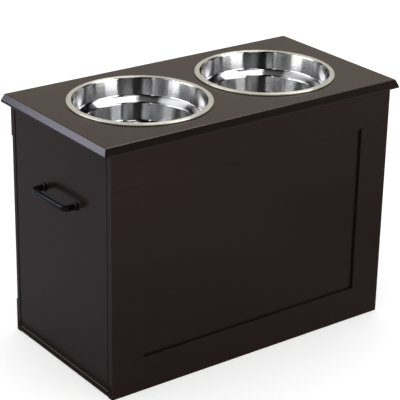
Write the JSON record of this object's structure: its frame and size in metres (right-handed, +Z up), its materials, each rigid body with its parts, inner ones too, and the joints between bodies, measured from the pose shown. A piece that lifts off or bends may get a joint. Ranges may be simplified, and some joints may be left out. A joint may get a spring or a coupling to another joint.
{
  "type": "elevated dog feeder",
  "caption": "Raised pet feeder: a framed, painted storage cabinet with a pull-out drawer in one end and lift-out steel bowls in its bevelled top.",
  "frame": {"origin": "centre of the cabinet's footprint, on the floor", "axes": "+X along the cabinet away from the drawer face, +Y from the front wall to the back wall, +Z up"},
  "size_m": [0.6115, 0.312, 0.4412],
  "materials": {
    "cabinet_paint": "satin",
    "top_paint": "satin",
    "drawer_paint": "satin",
    "dowel_wood": "raw",
    "zinc_hardware": "zinc plated",
    "glide_nylon": "smooth",
    "handle_black": "satin black",
    "bowl_steel": "polished, finely turned"
  },
  "bodies": {
    "cabinet": {"front_top_rail": "cabinet_paint", "front_bottom_rail": "cabinet_paint", "front_left_stile": "cabinet_paint", "front_right_stile": "cabinet_paint", "front_panel": "cabinet_paint", "back_top_rail": "cabinet_paint", "back_bottom_rail": "cabinet_paint", "back_left_stile": "cabinet_paint", "back_right_stile": "cabinet_paint", "back_panel": "cabinet_paint", "right_end_panel": "cabinet_paint", "base_board": "cabinet_paint", "mouth_stretcher": "cabinet_paint", "top_board": "top_paint", "frame_dowels": "dowel_wood", "locating_dowels": "dowel_wood", "cam_locks": "zinc_hardware", "cam_bolts": "zinc_hardware"},
    "drawer": {"drawer_face": "drawer_paint", "drawer_near_side": "drawer_paint", "drawer_far_side": "drawer_paint", "drawer_back": "drawer_paint", "drawer_bottom": "drawer_paint", "stop_blocks": "drawer_paint", "drawer_glides": "glide_nylon", "stop_block_screws": "zinc_hardware", "drawer_back_screws": "zinc_hardware", "drawer_cam_locks": "zinc_hardware", "drawer_cam_bolts": "zinc_hardware", "handle_screws": "zinc_hardware", "handle": "handle_black"},
    "left_bowl": {"bowl_left": "bowl_steel"},
    "right_bowl": {"bowl_right": "bowl_steel"}
  },
  "joints": [
    {"name": "drawer_pull", "type": "slide", "parent": "cabinet", "child": "drawer", "axis": [-1, 0, 0], "range_m": [0, 0.4]},
    {"name": "bowl_left_lift", "type": "slide", "parent": "cabinet", "child": "left_bowl", "axis": [0, 0, 1], "range_m": [0, 0.12]},
    {"name": "bowl_right_lift", "type": "slide", "parent": "cabinet", "child": "right_bowl", "axis": [0, 0, 1], "range_m": [0, 0.12]}
  ]
}
